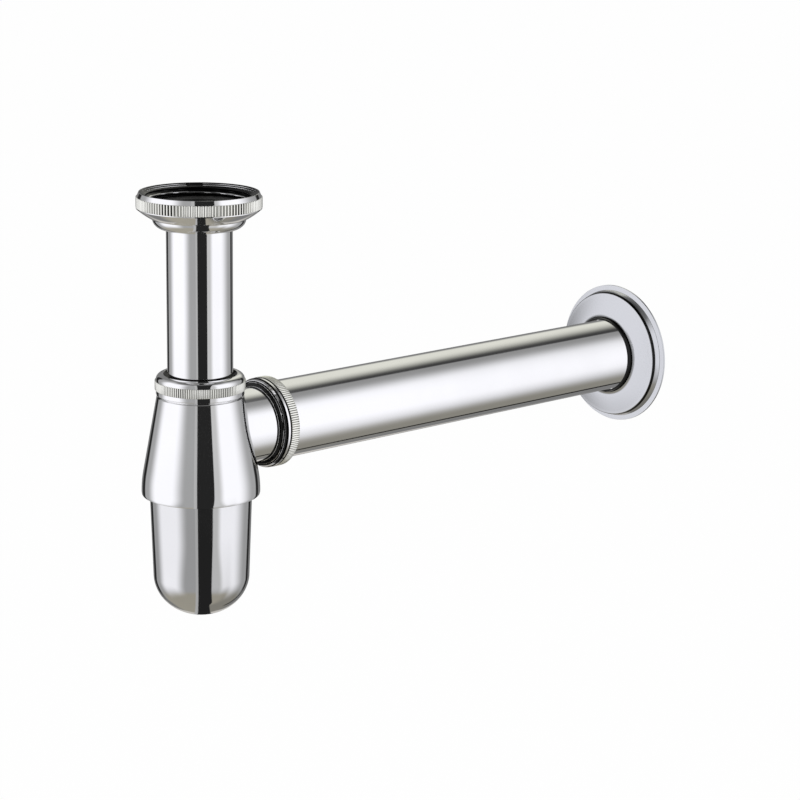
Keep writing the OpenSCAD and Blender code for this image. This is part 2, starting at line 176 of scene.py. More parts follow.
# %% Chrome finish
def chrome(name, smooth, dull, wheel_axis, lines=0.02, waves=0.015, tint=(1, 1, 1)):
    """Polished chrome whose wheel lines run round the x or the z axis."""
    material = bpy.data.materials.new(name)
    tree = empty_tree(material)
    place = tree.node("ShaderNodeTexCoord", output="Object")
    polish = tree.node("ShaderNodeTexNoise", {}, {"Vector": place, "Scale": 35, "Detail": 3})
    across = (3500, 14, 14) if wheel_axis == "x" else (14, 14, 3500)
    stretched = tree.node("ShaderNodeVectorMath", {"operation": "MULTIPLY"},
                          {0: place, 1: across})
    line = tree.node("ShaderNodeTexNoise", {}, {"Vector": stretched, "Scale": 1, "Detail": 2})
    wave = tree.node("ShaderNodeTexNoise", {}, {"Vector": place, "Scale": 90, "Detail": 1})
    rough = smooth + (dull - smooth) * eased(polish * 0.8 + line * 0.2, 0.3, 0.7)
    cool, pale = ((tint[0] * level, tint[1] * level, tint[2] * level * 1.006, 1)
                  for level in (0.935, 0.965))
    tone = mixed(eased(polish, 0.35, 0.65), cool, pale)
    wavy = tree.node("ShaderNodeBump", {}, {"Strength": waves, "Distance": 0.0004, "Height": wave})
    lined = tree.node("ShaderNodeBump", {},
                      {"Strength": lines, "Distance": 0.00004, "Height": line, "Normal": wavy})
    metal = tree.node("ShaderNodeBsdfPrincipled", {}, {
        "Metallic": 1.0, "Base Color": tone, "Roughness": rough, "Normal": lined})
    tree.node("ShaderNodeOutputMaterial", {}, {"Surface": metal})
    return material


chrome_upright = chrome("chrome_upright", 0.03, 0.07, "z")
chrome_level = chrome("chrome_level", 0.04, 0.09, "x")
chrome_cup = chrome("chrome_cup", 0.04, 0.09, "z", tint=(0.85, 0.85, 0.85))
chrome_pressed = chrome("chrome_pressed", 0.13, 0.19, "x", lines=0.04, waves=0.03,
                        tint=(0.67, 0.68, 0.70))
chrome_knurled = chrome("chrome_knurled", 0.06, 0.12, "z", tint=(0.99, 0.99, 0.92))
print("chrome: upright, level, cup, pressed and knurled")

# %% [markdown]
# ## Inside of tubes and castings
# Plating hardly reaches into a bore. There the brass shows through a thin grey film, with the
# draw marks of the tube and a few darker stains. The same noise that darkens a stain also makes
# it rougher.

# %% Thinly plated bore
def plated_bore():
    material = bpy.data.materials.new("plated_bore")
    tree = empty_tree(material)
    place = tree.node("ShaderNodeTexCoord", output="Object")
    stain = tree.node("ShaderNodeTexNoise", {}, {"Vector": place, "Scale": 60, "Detail": 6})
    grain = tree.node("ShaderNodeTexNoise", {}, {"Vector": place, "Scale": 1400, "Detail": 2})
    mask = eased(stain, 0.42, 0.68)
    tone = mixed(mask, (0.52, 0.47, 0.38, 1), (0.33, 0.29, 0.22, 1))
    bump = tree.node("ShaderNodeBump", {}, {"Strength": 0.15, "Distance": 0.0001, "Height": grain})
    metal = tree.node("ShaderNodeBsdfPrincipled", {}, {
        "Metallic": 1.0, "Base Color": tone, "Roughness": 0.3 + 0.25 * mask, "Normal": bump})
    tree.node("ShaderNodeOutputMaterial", {}, {"Surface": metal})
    return material


bore = plated_bore()
print("bore finish ready")

# %% [markdown]
# ## Threads and grooves
# Threads, narrow grooves, flute floors and tight hollows are painted nearly black: this is painted
# shade, where little light would reach. The finish is a dark, half dull metal whose noise lets a few
# paler spots through.

# %% Painted shade for threads and recesses
def painted_recess_shade():
    material = bpy.data.materials.new("painted_recess_shade")
    tree = empty_tree(material)
    place = tree.node("ShaderNodeTexCoord", output="Object")
    spot_noise = tree.node("ShaderNodeTexNoise", {}, {"Vector": place, "Scale": 240, "Detail": 4})
    mask = eased(spot_noise, 0.55, 0.75)
    bump = tree.node("ShaderNodeBump", {}, {"Strength": 0.2, "Distance": 0.00005, "Height": spot_noise})
    metal = tree.node("ShaderNodeBsdfPrincipled", {}, {
        "Metallic": 1.0, "Base Color": mixed(mask, grey(0.02), grey(0.04, 0.05)),
        "Roughness": 0.22 + 0.2 * mask, "Normal": bump})
    tree.node("ShaderNodeOutputMaterial", {}, {"Surface": metal})
    return material


# dark is the painted shade that threads, grooves, hollows and flute floors take.
dark = painted_recess_shade()
print("thread finish ready")

# %% [markdown]
# ## Rubber and nylon
# The washers, the gasket and the seal are moulded black rubber, matt with a faint bloom. The
# two slip rings are natural nylon, which is ivory, slightly waxy and smoother. Both are made by
# one function, because they differ only in colour, gloss and grain.

# %% Moulded ring finishes
def moulded(name, dark, light, smooth, dull, grain_size):
    material = bpy.data.materials.new(name)
    tree = empty_tree(material)
    place = tree.node("ShaderNodeTexCoord", output="Object")
    bloom = tree.node("ShaderNodeTexNoise", {}, {"Vector": place, "Scale": 120, "Detail": 5})
    grain = tree.node("ShaderNodeTexNoise", {}, {"Vector": place, "Scale": grain_size, "Detail": 2})
    mask = eased(bloom, 0.35, 0.7)
    bump = tree.node("ShaderNodeBump", {}, {"Strength": 0.25, "Distance": 0.0001, "Height": grain})
    surface = tree.node("ShaderNodeBsdfPrincipled", {}, {
        "Base Color": mixed(mask, dark, light), "Roughness": smooth + (dull - smooth) * mask,
        "Normal": bump})
    tree.node("ShaderNodeOutputMaterial", {}, {"Surface": surface})
    return material


black_rubber = moulded("black_rubber", grey(0.018), grey(0.032, 0.02), 0.5, 0.68, 1800)
natural_nylon = moulded("natural_nylon", (0.74, 0.69, 0.57, 1), (0.80, 0.76, 0.66, 1),
                        0.34, 0.46, 900)
print("rubber and nylon ready")

# %% [markdown]
# ## Outlines for the lathe
# On a lathe every edge is broken a little, and that tiny round is what catches the light. An
# outline is a list of corners with radius, height and rounding in millimetres. Each rounded
# corner becomes an arc, with one more point just beyond each end, so that the smooth shading of
# the arc doesn't bend the light on the straight face beside it.

# %% Rounded outlines
ARC_STEPS = 6
HOLD = 0.08


def rounded(corners):
    """Points of an outline from corners given as (radius, height) or (radius, height, rounding)."""
    points = []
    for i, corner in enumerate(corners):
        here = np.array(corner[:2], float)
        if len(corner) < 3:
            points.append(here)
            continue
        back = np.array(corners[i - 1][:2]) - here
        on = np.array(corners[(i + 1) % len(corners)][:2]) - here
        back_l, on_l = np.linalg.norm(back), np.linalg.norm(on)
        back, on = back / back_l, on / on_l
        half = math.acos(np.clip(back @ on, -1, 1)) / 2
        reach = min(corner[2] / math.tan(half), 0.4 * back_l, 0.4 * on_l)
        radius = reach * math.tan(half)
        centre = here + (back + on) / np.linalg.norm(back + on) * radius / math.sin(half)
        first, last = here + back * reach - centre, here + on * reach - centre
        turn = math.atan2(first[0] * last[1] - first[1] * last[0], first @ last)
        points.append(here + back * min(reach + HOLD, 0.45 * back_l))
        for a in np.linspace(0, turn, ARC_STEPS + 1):
            c, s = math.cos(a), math.sin(a)
            points.append(centre + (c * first[0] - s * first[1], s * first[0] + c * first[1]))
        points.append(here + on * min(reach + HOLD, 0.45 * on_l))
    return points


def curve(centre, rx, ry, start, end, steps=12):
    """Points on an arc or ellipse from one angle to another, in degrees."""
    return [(centre[0] + rx * math.cos(a), centre[1] + ry * math.sin(a))
            for a in np.radians(np.linspace(start, end, steps + 1))]


def straight(radius, start, end, step):
    """Closely spaced points along a straight wall, for a thread to be cut in."""
    count = max(2, round(abs(end - start) / step))
    return [(radius, h) for h in np.linspace(start, end, count + 1)]


print("outline tools ready")

# %% [markdown]
# ## Turning
# A lathe sweeps the outline round its axis. Blender's Screw modifier could do that, but then no
# point could be moved on its own. Here the outline becomes a grid of points by angle and
# height, and a function may move each one: that is how threads climb and how the spigot's end
# follows the bell. The upright pieces turn about the tube's axis and the level ones about the
# pipe's.

# %% Turn an outline
SEGMENTS = 192
PIPE_Z = (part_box("outlet_pipe")[0][2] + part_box("outlet_pipe")[1][2]) / 2 / MM


def placed(radius, angle, height, along):
    """Points in millimetres for a piece about the tube's axis (z) or the pipe's axis (x)."""
    if along == "z":
        return np.stack([radius * np.cos(angle), radius * np.sin(angle), height], -1)
    return np.stack([height, radius * np.sin(angle), PIPE_Z - radius * np.cos(angle)], -1)


def grid_faces(rows, columns, closed):
    """Quads between neighbouring rows and columns, which all close on themselves by column."""
    j = np.arange(columns)
    k = (j + 1) % columns
    faces = []
    for i in range(rows if closed else rows - 1):
        a, b = i * columns, (i + 1) % rows * columns
        faces.append(np.stack([a + j, a + k, b + k, b + j], -1))
    return np.concatenate(faces)


def turned(outline, along="z", shape=None, closed=True):
    """A shell: its points, its faces and each face's middle radius and height."""
    radius, height = np.array(outline, float).T
    if np.sum(radius * np.roll(height, -1) - height * np.roll(radius, -1)) < 0:
        radius, height = radius[::-1], height[::-1]
    angle = np.arange(SEGMENTS) * 2 * math.pi / SEGMENTS
    rows = len(radius)
    angle, radius, height = (np.broadcast_to(v, (rows, SEGMENTS)).copy()
                             for v in (angle, radius[:, None], height[:, None]))
    if shape:
        radius, height = shape(angle, radius, height)
    return (placed(radius, angle, height, along).reshape(-1, 3),
            grid_faces(rows, SEGMENTS, closed),
            (radius.ravel(), height.ravel()))


print("pipe axis at", round(PIPE_Z, 2), "mm")

# %% [markdown]
# ## Flutes
# A knurling tool or a form cutter presses straight flutes round a nut so that a hand can grip it.
# Between two of them stands a ridge with a round crest and two flanks that slope by 40 degrees, so
# that each ridge shows the whole room as bright and dark lines, and the floors between them take the
# painted shade. The band is a ring of its own points, many more than the plain turning needs, and its
# inner half is buried in the nut.

# %% Fluted band
# One ridge and one flute, across and in depth, in parts of their pitch.
FLUTE = ((-0.43, 0.22), (-0.23, 0.051), (-0.12, 0.013), (0, 0), (0.12, 0.013),
         (0.23, 0.051), (0.43, 0.22))
FLUTE_FLOOR = 6
BAND_BEVEL = 0.15


def fluted_band(tip, core, count, start, end, along):
    """Ring of flutes from start to end whose lands lie at the tip radius."""
    steps, drops = np.array(FLUTE).T
    angle = ((np.arange(count)[:, None] + steps) * 2 * math.pi / count).ravel()
    floor = tip - np.tile(drops, count) * 2 * math.pi * tip / count
    rows = ((core, start), (tip - BAND_BEVEL, start), (tip, start + BAND_BEVEL),
            (tip, end - BAND_BEVEL), (tip - BAND_BEVEL, end), (core, end))
    radius = np.array([np.minimum(r, floor) for r, _ in rows])
    height = np.array([np.full(len(angle), h) for _, h in rows])
    points = placed(radius, np.broadcast_to(angle, radius.shape), height, along)
    return (points.reshape(-1, 3), grid_faces(len(rows), len(angle), True),
            (radius.ravel(), height.ravel()))


print("flute:", len(FLUTE), "points")

# %% [markdown]
# ## Threads
# A thread is a ridge that climbs by one pitch in each turn. On the grid of points this is only
# a change of radius: where a point lies between two crests follows from its height less the
# climb at its angle. An outer thread starts from its root and an inner one from its widest
# bore, and both fade in, as a real thread does at its ends. A nut and what it screws on share
# pitch and climb, so their ridges lie between each other and stay so as the nut turns.

# %% Thread cutting
THREAD_FADE = 0.45


def ridge(angle, height, pitch, start, end):
    """1 on a crest and 0 at a root, and how far the thread has faded in."""
    climb = height / pitch - angle / (2 * math.pi)
    wave = np.abs(2 * (climb % 1) - 1)
    crest = np.clip(0.5 + 1.35 * (wave - 0.5), 0, 1)
    fade = np.clip(np.minimum(height - start, end - height) / (THREAD_FADE * pitch), 0, 1)
    return crest, fade


def outer_thread(crest_r, depth, pitch, start, end):
    """Cuts a thread into the outer wall of radius crest_r between start and end."""
    def shape(angle, radius, height):
        cut = (np.abs(radius - crest_r) < 1e-6) & (height > start - 1e-6) & (height < end + 1e-6)
        crest, fade = ridge(angle, height, pitch, start, end)
        return np.where(cut, crest_r - depth * (1 - crest * fade), radius), height
    return shape


def inner_thread(bore_r, depth, pitch, start, end):
    """Raises a thread on the bore of radius bore_r between start and end."""
    def shape(angle, radius, height):
        cut = (np.abs(radius - bore_r) < 1e-6) & (height > start - 1e-6) & (height < end + 1e-6)
        crest, fade = ridge(angle, height, pitch, start, end)
        return np.where(cut, bore_r - depth * (1 - crest) * fade, radius), height
    return shape


print("threads ready")

# %% [markdown]
# ## From shells to pieces
# Each piece is one object in metres. Its faces are shaded smooth, and edges that bend more than a
# third of a right angle stay sharp. Faces that lie inside a bore take the dull bore finish, a band of
# flutes takes the knurled one with its floors in painted shade, and the rest the chrome. The piece
# then rides on its CAD body and hides the CAD node that it stands for.

# %% Make a piece
SHARP = math.radians(32)


def finish_shading(mesh):
    mesh.shade_smooth()
    mesh.set_sharp_from_angle(angle=SHARP)


def piece(name, node, body, shells, finish, inside=None, inner=None):
    """One object from closed shells, in the place of a CAD node. Where inside says so of a
    face's radius and height, it takes the inner finish. A second shell is a band of flutes."""
    points, faces, radius, height, count = [], [], [], [], 0
    for shell_points, shell_faces, (r, h) in shells:
        points.append(shell_points)
        faces.append(shell_faces + count)
        radius.append(r)
        height.append(h)
        count += len(shell_points)
    points, faces = np.concatenate(points) * MM, np.concatenate(faces)
    mesh = bpy.data.meshes.new(name)
    mesh.from_pydata(points.tolist(), [], faces.tolist())
    mesh.materials.append(finish)
    chosen = np.zeros(len(faces), np.int32)
    if inside:
        mesh.materials.append(inner or bore)
        middle_r = np.concatenate(radius)[faces].mean(1)
        middle_h = np.concatenate(height)[faces].mean(1)
        chosen[:] = inside(middle_r, middle_h)
    if len(shells) > 1:
        band = np.arange(len(faces) - len(shells[0][1]))
        mesh.materials.append(chrome_knurled)
        # The flute floors take the painted shade.
        mesh.materials.append(dark)
        chosen[len(shells[0][1]):] = len(mesh.materials) - 2 + (
            band % len(FLUTE) == FLUTE_FLOOR)
    mesh.polygons.foreach_set("material_index", chosen)
    welded = bmesh.new()
    welded.from_mesh(mesh)
    bmesh.ops.remove_doubles(welded, verts=welded.verts, dist=1e-7)
    welded.to_mesh(mesh)
    welded.free()
    finish_shading(mesh)
    made = bpy.data.objects.new(name, mesh)
    bpy.context.collection.objects.link(made)
    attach(made, body)
    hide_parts(node)
    print(name, len(mesh.polygons), "faces")
    return made


# %% [markdown]
# ## Inlet nut
# The union nut that screws on the basin's waste is the piece that a hand turns. Above its
# fluted band is a bevel, below it a lip, a cone and a rounded neck that guides it on the tube.
# Its inlet thread is an inch and a quarter pipe thread with 11 turns to the inch, and its mouth
# has two fine turned steps. All of it comes from one outline, a band of flutes and a thread cut
# on the bore.

# %% Turn the inlet nut
INLET_R, INLET_PITCH, INLET_DEPTH = 20.955, 25.4 / 11, 1.3
INLET_TIP = 24.605
CONE = math.tan(math.radians(31.4))
(_, _, nut_low), (_, _, nut_high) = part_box("inlet_nut")
nut_low, nut_high = nut_low / MM, nut_high / MM
inlet_thread_top = nut_high - 1.4
STEPS = (22.6, 21.8)


def under_z(radius):
    return -1.36 - (24.505 - radius) * CONE


def seat_z(radius):
    return -1.71 - (21.255 - radius) * CONE


neck_top = under_z(18.6) - 0.45
neck_round = curve((13.45, neck_top), 4.85, neck_top - nut_low, -90, 0, 16)

inlet_outline = rounded(
    [(13.15, nut_low, 0.15)] + neck_round
    + [(18.6, neck_top + 0.02, 0.1)]
    + [(r, under_z(r) - 0.45 * (24.505 - r) / 5.905 - 0.25 * math.sin((24.505 - r) * math.pi / 5.905))
       for r in np.linspace(18.9, 24.2, 9)]
    + [(24.505, under_z(24.505), 0.12), (24.505, -1.0), (24.155, -1.0), (24.155, 3.3),
       (24.2, 3.3, 0.1), (23.505, nut_high, 0.18), (23.3, nut_high, 0.1)]
    + [(STEPS[0] + 0.02, nut_high - 0.44), (STEPS[0], nut_high - 0.55),
       (STEPS[1] + 0.02, nut_high - 0.96), (STEPS[1], nut_high - 1.07),
       (INLET_R, inlet_thread_top)]
    + straight(INLET_R, inlet_thread_top - 0.05, 0.05, 0.12)
    + [(INLET_R, 0), (21.255, 0), (21.255, seat_z(21.255)), (13.15, seat_z(13.15), 0.1)])


def in_mouth(radius, height):
    """Painted shade on the mouth and thread, without the crests and the two steps, which keep the
    chrome.
    """
    step = (np.abs(radius - STEPS[0]) < 0.02) | (np.abs(radius - STEPS[1]) < 0.02)
    return (height > -1.9) & (radius < 23.25) & (radius > 19.95) & ~step


piece("inlet_nut_fluted", "inlet_nut", "inlet_nut", [
    turned(inlet_outline, shape=inner_thread(INLET_R, INLET_DEPTH, INLET_PITCH,
                                             0.05, inlet_thread_top - 0.05)),
    fluted_band(INLET_TIP, 23.8, 115, -1.0, 3.2, "z")], chrome_upright,
    inside=in_mouth, inner=dark)

# %% [markdown]
# ## Inlet tube
# The tube is drawn brass with its top flared to the nut's cone. It dips deep into the body, so
# that the water in the cup closes off the drain's smell.

# %% Draw the inlet tube
TUBE_R, TUBE_BORE = 13.0, 12.2
tube_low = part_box("inlet_tube")[0][2] / MM
tube_outline = rounded([
    (TUBE_BORE, tube_low, 0.1), (12.7, tube_low, 0.1), (TUBE_R, tube_low + 0.3, 0.15),
    (TUBE_R, -6.69), (20.305, -2.23, 0.2), (20.305, -1.29, 0.2), (TUBE_BORE, -6.24, 1.5)])
piece("inlet_tube_drawn", "inlet_tube", "inlet_tube", [turned(tube_outline)], chrome_upright,
      inside=lambda r, h: r < 12.5)

# %% [markdown]
# ## Gland nut
# Where the tube enters the body, a small fluted nut with a domed roof squeezes a rubber seal.
# Its mouth round the tube is a deep bevel painted dark as painted shade, and below the flutes it has
# a plain lip.

# %% Turn the gland nut
GLAND_PITCH, GLAND_DEPTH = 1.0, 0.38
gland_low, gland_high = (corner[2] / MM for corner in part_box("gland_nut"))
gland_roof = gland_high - 2.2
gland_outline = rounded(
    [(16.95, gland_low, 0.1), (17.3, gland_low, 0.12), (17.55, gland_low + 0.3, 0.12)]
    + [(17.55, gland_roof - 0.2)]
    + curve((15.15, gland_roof), 2.4, 2.2, 0, 86)
    + [(14.65, gland_high, 0.1), (13.15, gland_high - 1.5, 0.15), (13.15, gland_roof),
       (16.65, gland_roof)]
    + straight(16.65, gland_roof - 0.5, gland_low + 0.3, 0.1)
    + [(16.65, gland_low + 0.3)])
piece("gland_nut_fluted", "gland_nut", "gland_nut", [
    turned(gland_outline, shape=inner_thread(16.65, GLAND_DEPTH, GLAND_PITCH,
                                             gland_low + 0.3, gland_roof - 0.5)),
    fluted_band(18.0, 17.2, 120, gland_low + 2.0, gland_low + 5.7, "z")], chrome_upright,
    inside=lambda r, h: (r < 14.6) & (h > gland_high - 1.6), inner=dark)

# %% [markdown]
# ## Bell-shaped body
# The body is one casting: a threaded neck and a sloping shoulder that bows into an upright
# skirt, whose lower edge is turned nearly sharp and a little higher than the CAD has it, as the
# photo shows. Inside it has the seal's seat, the gasket's seat and the cup's thread.
# The outlet's hole is cut with a Boolean, because it crosses the wall at a right angle.

# %% Turn the bell
CUP_PITCH, CUP_DEPTH = 1.5, 0.6
NECK_R = 16.6
SKIRT_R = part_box("trap_body")[1][0] / MM
bell_low, bell_high = (corner[2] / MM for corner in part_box("trap_body"))
shoulder_z = bell_high - 4.2
bow_top = bell_low + 11.5
lip = bell_low + 1.6
lean = math.atan((22.85 - 17.35) / (shoulder_z - 0.4 - bow_top))
bow = [(SKIRT_R - 0.8 * (1 - math.cos(a)) / (1 - math.cos(lean)),
        bell_low + 3 + 8.5 * math.sin(a) / math.sin(lean))
       for a in np.linspace(0, lean, 13)[1:]]
bell_outside = (
    [(21.3, lip), (SKIRT_R - 0.16, lip + 0.3, 0.2)]
    + [(SKIRT_R - 0.16 * s * s, bell_low + 3 - 1.1 * s) for s in np.linspace(0.6, 0, 5)] + bow
    + [(22.85 + (17.35 - 22.85) * s, bow_top + (shoulder_z - 0.4 - bow_top) * s)
       for s in np.linspace(0, 1, 30)[1:-1]]
    + [(17.35, shoulder_z - 0.4, 0.2), (17.0, shoulder_z, 0.15), (16.2, shoulder_z)])
bell_inside = (
    [(16.2, bell_high, 0.1), (15.2, bell_high, 0.1), (13.3, bell_high - 2.4), (13.3, -78.1, 0.2),
     (14.95, -78.1), (15.75, -78.9)]
    + [(15.75 + 4.9 * s, -78.9 - 28.05 * s) for s in np.linspace(0, 1, 28)[1:]]
    + [(18.5, -109.1), (18.5, -110.3), (20.9, -110.3)]
    + straight(20.9, -110.8, lip + 0.5, 0.12) + [(20.9, lip + 0.4)])
bell_line = np.array(sorted((h, r) for r, h in rounded(bell_outside)[:60]))
neck_cut = outer_thread(NECK_R, GLAND_DEPTH, GLAND_PITCH, shoulder_z + 0.1, bell_high - 0.3)
cup_cut = inner_thread(20.9, CUP_DEPTH, CUP_PITCH, lip + 0.5, -110.8)


def bell_shape(angle, radius, height):
    return cup_cut(angle, *neck_cut(angle, radius, height))


bell_outline = rounded(bell_outside + straight(NECK_R, shoulder_z + 0.1, bell_high - 0.3, 0.1)
                       + bell_inside)
bell = piece("bell_body", "trap_body", "trap_body",
             [turned(bell_outline, shape=bell_shape)], chrome_upright,
             inside=lambda r, h: (h < -78) & (r < np.interp(h, *bell_line.T) - 0.8)
             & ((r < 20.2) | (h > -110)))

# %% Cut the outlet's hole
SPIGOT_BORE = 13.8
points, faces, _ = turned([(0, 9.25), (SPIGOT_BORE, 9.25), (SPIGOT_BORE, 30), (0, 30)],
                          along="x", closed=False)
drill_mesh = bpy.data.meshes.new("drill")
drill_mesh.from_pydata((points * MM).tolist(), [], faces.tolist())
drill_mesh.materials.append(chrome_upright)
welded = bmesh.new()
welded.from_mesh(drill_mesh)
bmesh.ops.remove_doubles(welded, verts=welded.verts, dist=1e-7)
bmesh.ops.recalc_face_normals(welded, faces=welded.faces)
welded.to_mesh(drill_mesh)
welded.free()
drill = bpy.data.objects.new("drill", drill_mesh)
bpy.context.collection.objects.link(drill)
cut = bell.modifiers.new("outlet hole", "BOOLEAN")
cut.operation, cut.solver, cut.object = "DIFFERENCE", "EXACT", drill
bpy.context.view_layer.update()
holed = bpy.data.meshes.new_from_object(bell.evaluated_get(bpy.context.evaluated_depsgraph_get()))
bell.modifiers.clear()
bell.data = holed
finish_shading(holed)
bpy.data.objects.remove(drill)
print("bell with its outlet hole:", len(holed.polygons), "faces")

# %% [markdown]
# ## Outlet spigot
# A short thick tube is brazed to the bell's side. Its end is coped, which means cut to the
# curve that it meets, so each point of its first ring is moved along the pipe's axis until it
# lies just under the bell's wall.

# %% Cope and thread the spigot
SPIGOT_R = 15.2
SPIGOT_THREAD = 16.9
spigot_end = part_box("outlet_spigot")[1][0] / MM
thread_x = spigot_end - 4.2
UNDER_WALL = 0.08
spigot_cut = outer_thread(SPIGOT_THREAD, GLAND_DEPTH, GLAND_PITCH, thread_x + 0.1,
                          spigot_end - 0.3)


def spigot_shape(angle, radius, height):
    radius, height = spigot_cut(angle, radius, height)
    bell_r = np.interp(PIPE_Z - radius * np.cos(angle), *bell_line.T)
    coped = np.sqrt(bell_r ** 2 - (radius * np.sin(angle)) ** 2) - UNDER_WALL
    return radius, np.where(height < 12, coped, height)


spigot_outline = rounded(
    [(SPIGOT_BORE, 10), (SPIGOT_R, 10), (SPIGOT_R, thread_x, 0.25), (16.52, thread_x)]
    + straight(SPIGOT_THREAD, thread_x + 0.1, spigot_end - 0.3, 0.1)
    + [(16.4, spigot_end, 0.1), (SPIGOT_BORE, spigot_end, 0.15)])
# From the thread's start on, all but the thread's crests take the painted shade.
piece("spigot_threaded", "outlet_spigot", "trap_body",
      [turned(spigot_outline, along="x", shape=spigot_shape)], chrome_level,
      inside=lambda r, h: (h > thread_x - 0.05) & (r < 16.8), inner=dark)

# %% [markdown]
# ## Outlet nut
# The outlet's union nut is open towards the body, so the spigot's thread shows in it. It has a bevel
# with a turned band in painted shade, a plain bright ring, a groove in painted shade and a fluted
# band.

# %% Turn the outlet nut
out_low, out_high = (corner[0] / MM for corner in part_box("outlet_nut"))
outlet_outline = rounded(
    [(17.35, out_low, 0.08), (17.55, out_low, 0.1), (17.92, out_low + 0.68),
     (18.38, out_low + 1.4, 0.1), (18.38, out_low + 2.35, 0.1), (17.98, out_low + 2.45),
     (17.98, out_low + 3.0), (18.05, out_low + 3.1), (18.05, out_high - 0.35, 0.1),
     (17.7, out_high, 0.1), (16.1, out_high, 0.1), (16.1, out_high - 1.1), (16.95, out_high - 1.1)]
    + straight(16.95, out_high - 1.6, out_low + 0.5, 0.1)
    + [(16.95, out_low + 0.4)])


def in_outlet_groove(radius, height):
    """Painted shade on the threaded bore, the outer half of the bevel and the groove beside the
    flutes.
    """
    return (radius < 17.4) | (
        (radius > 17.9) & (radius < 18.36) & (height < out_low + 1.38)) | (
        (radius < 18.3) & (height > out_low + 2.35) & (height < out_low + 3.15))


piece("outlet_nut_fluted", "outlet_nut", "outlet_nut", [
    turned(outlet_outline, along="x",
           shape=inner_thread(16.95, GLAND_DEPTH, GLAND_PITCH, out_low + 0.5, out_high - 1.6)),
    fluted_band(18.5, 17.6, 120, out_low + 3.1, out_high - 0.5, "x")], chrome_level,
    inside=in_outlet_groove, inner=dark)

# %% [markdown]
# ## Outlet pipe and collar
# The pipe is a drawn tube with a collar brazed to its trap end. A shallow turned ring behind
# the flange marks how far its other end goes into the wall's drain.

# %% Draw the pipe and its collar
PIPE_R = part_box("outlet_pipe")[1][1] / MM
pipe_start, pipe_end = (corner[0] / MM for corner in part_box("outlet_pipe"))
mark = pipe_end - 9.5
pipe_outline = rounded([
    (PIPE_R - 1, pipe_start), (PIPE_R, pipe_start), (PIPE_R, mark - 0.8, 0.05),
    (PIPE_R - 0.2, mark - 0.8), (PIPE_R - 0.2, mark), (PIPE_R, mark, 0.05),
    (PIPE_R, pipe_end - 0.5, 0.2), (PIPE_R - 0.5, pipe_end, 0.12), (PIPE_R - 1, pipe_end, 0.12)])
pipe = piece("pipe_polished", "outlet_pipe", "outlet_pipe", [turned(pipe_outline, along="x")],
             chrome_level, inside=lambda r, h: r < PIPE_R - 0.8)
pipe.visible_glossy = False

collar_start, collar_end = (corner[0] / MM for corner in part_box("outlet_collar"))
collar_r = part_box("outlet_collar")[1][1] / MM
piece("collar_brazed", "outlet_collar", "outlet_pipe", [turned(rounded([
    (PIPE_R, collar_start, 0.05), (collar_r, collar_start, 0.12), (collar_r, collar_end, 0.12),
    (PIPE_R, collar_end, 0.05)]), along="x")], chrome_level)

# %% [markdown]
# ## Wall flange
# The flange is pressed from sheet. From its hub a tight hollow swings out into a gently domed dish,
# whose shoulder drops steeply to a narrow lip on the wall, so that from the far side the dish nearly
# hides the lip. The hollow and the first step down from the shoulder are painted dark, as painted
# shade. The flange is open at the back and slides on the pipe to hide the hole in the wall. Flange
# and pipe would only mirror each other as grey smears, so mirror rays pass them by.

# %% Press the flange
FLANGE_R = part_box("wall_flange")[1][1] / MM
front, wall = (corner[0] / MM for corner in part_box("wall_flange"))
hollow = curve((19.0, front + 0.1), 2, 2.4, 176, 92)
shoulder = np.array((28.1, wall - 4.65))
dish_low, dish_high = np.array(hollow[-1]), shoulder - (1.2, 0.2)
dish = [tuple(dish_low + (dish_high - dish_low) * (s, s ** 1.25)) for s in np.linspace(0, 1, 17)[1:]]
flange_outline = rounded(
    [(16.25, front, 0.15), (17.0, front, 0.12)] + hollow + dish
    + [(*shoulder, 0.5), (28.55, wall - 3.35), (28.6, wall - 3.25), (29.1, wall - 1.0, 0.2),
       (FLANGE_R, wall - 0.85, 0.08), (FLANGE_R, wall, 0.1), (28.3, wall, 0.1),
       (27.8, wall - 2.3), (27.3, wall - 3.5), (26.5, wall - 3.9), (17.45, front + 3.6),
       (16.25, front + 3.6)])


def in_hollow(radius, height):
    """Painted shade on the hollow round the pipe and on the first step down from the shoulder."""
    return ((radius < 17.6) & (height < front + 2.2)) | (
        (radius > 28.02) & (radius < 28.57) & (height < wall - 3.3))


flange = piece("flange_pressed", "wall_flange", "wall_flange",
               [turned(flange_outline, along="x")], chrome_pressed, inside=in_hollow, inner=dark)
flange.visible_glossy = False

# %% [markdown]
# ## Cup
# The cup collects what falls down a basin's waste and unscrews downwards to be emptied. Its
# side narrows a little to a bottom that is almost half an egg, and its rim carries the thread.

# %% Turn the cup
CUP_THREAD = 20.85
cup_low, cup_rim = (corner[2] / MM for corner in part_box("cup"))
side_top, side_low = lip + 0.2, bell_low - 31.7
cup_outline = (
    curve((0, side_low), 19.3, side_low - cup_low, -90, 0, 40)
    + rounded([(19.3, side_low), (20.4, side_top), (20.25, side_top + 0.5),
               (20.25, side_top + 0.6)])[1:]
    + straight(CUP_THREAD, side_top + 0.6, cup_rim - 0.4, 0.12)
    + [(20.2, cup_rim), (19.45, cup_rim), (19.35, cup_rim - 0.1), (19.35, side_top)]
    + curve((0, side_low), 18.3, side_low - cup_low - 1, 0, -90, 40))
piece("cup_spun", "cup", "cup", [
    turned(cup_outline, closed=False,
           shape=outer_thread(CUP_THREAD, CUP_DEPTH, CUP_PITCH, side_top + 0.6, cup_rim - 0.4))],
    chrome_cup,
    inside=lambda r, h: (h > cup_low + 0.5) & (r < 19.4) & (
        ((r / 18.8) ** 2 + ((h - side_low) / (side_low - cup_low - 0.5)) ** 2 < 1)
        | ((h > side_low) & (r < 19.4 - 0.03 * (side_top - h)))))

# %% [markdown]
# ## Rings inside
# The washers, the seal, the gasket and the slip rings are right as the CAD has them, so they
# stay and only take their finish.

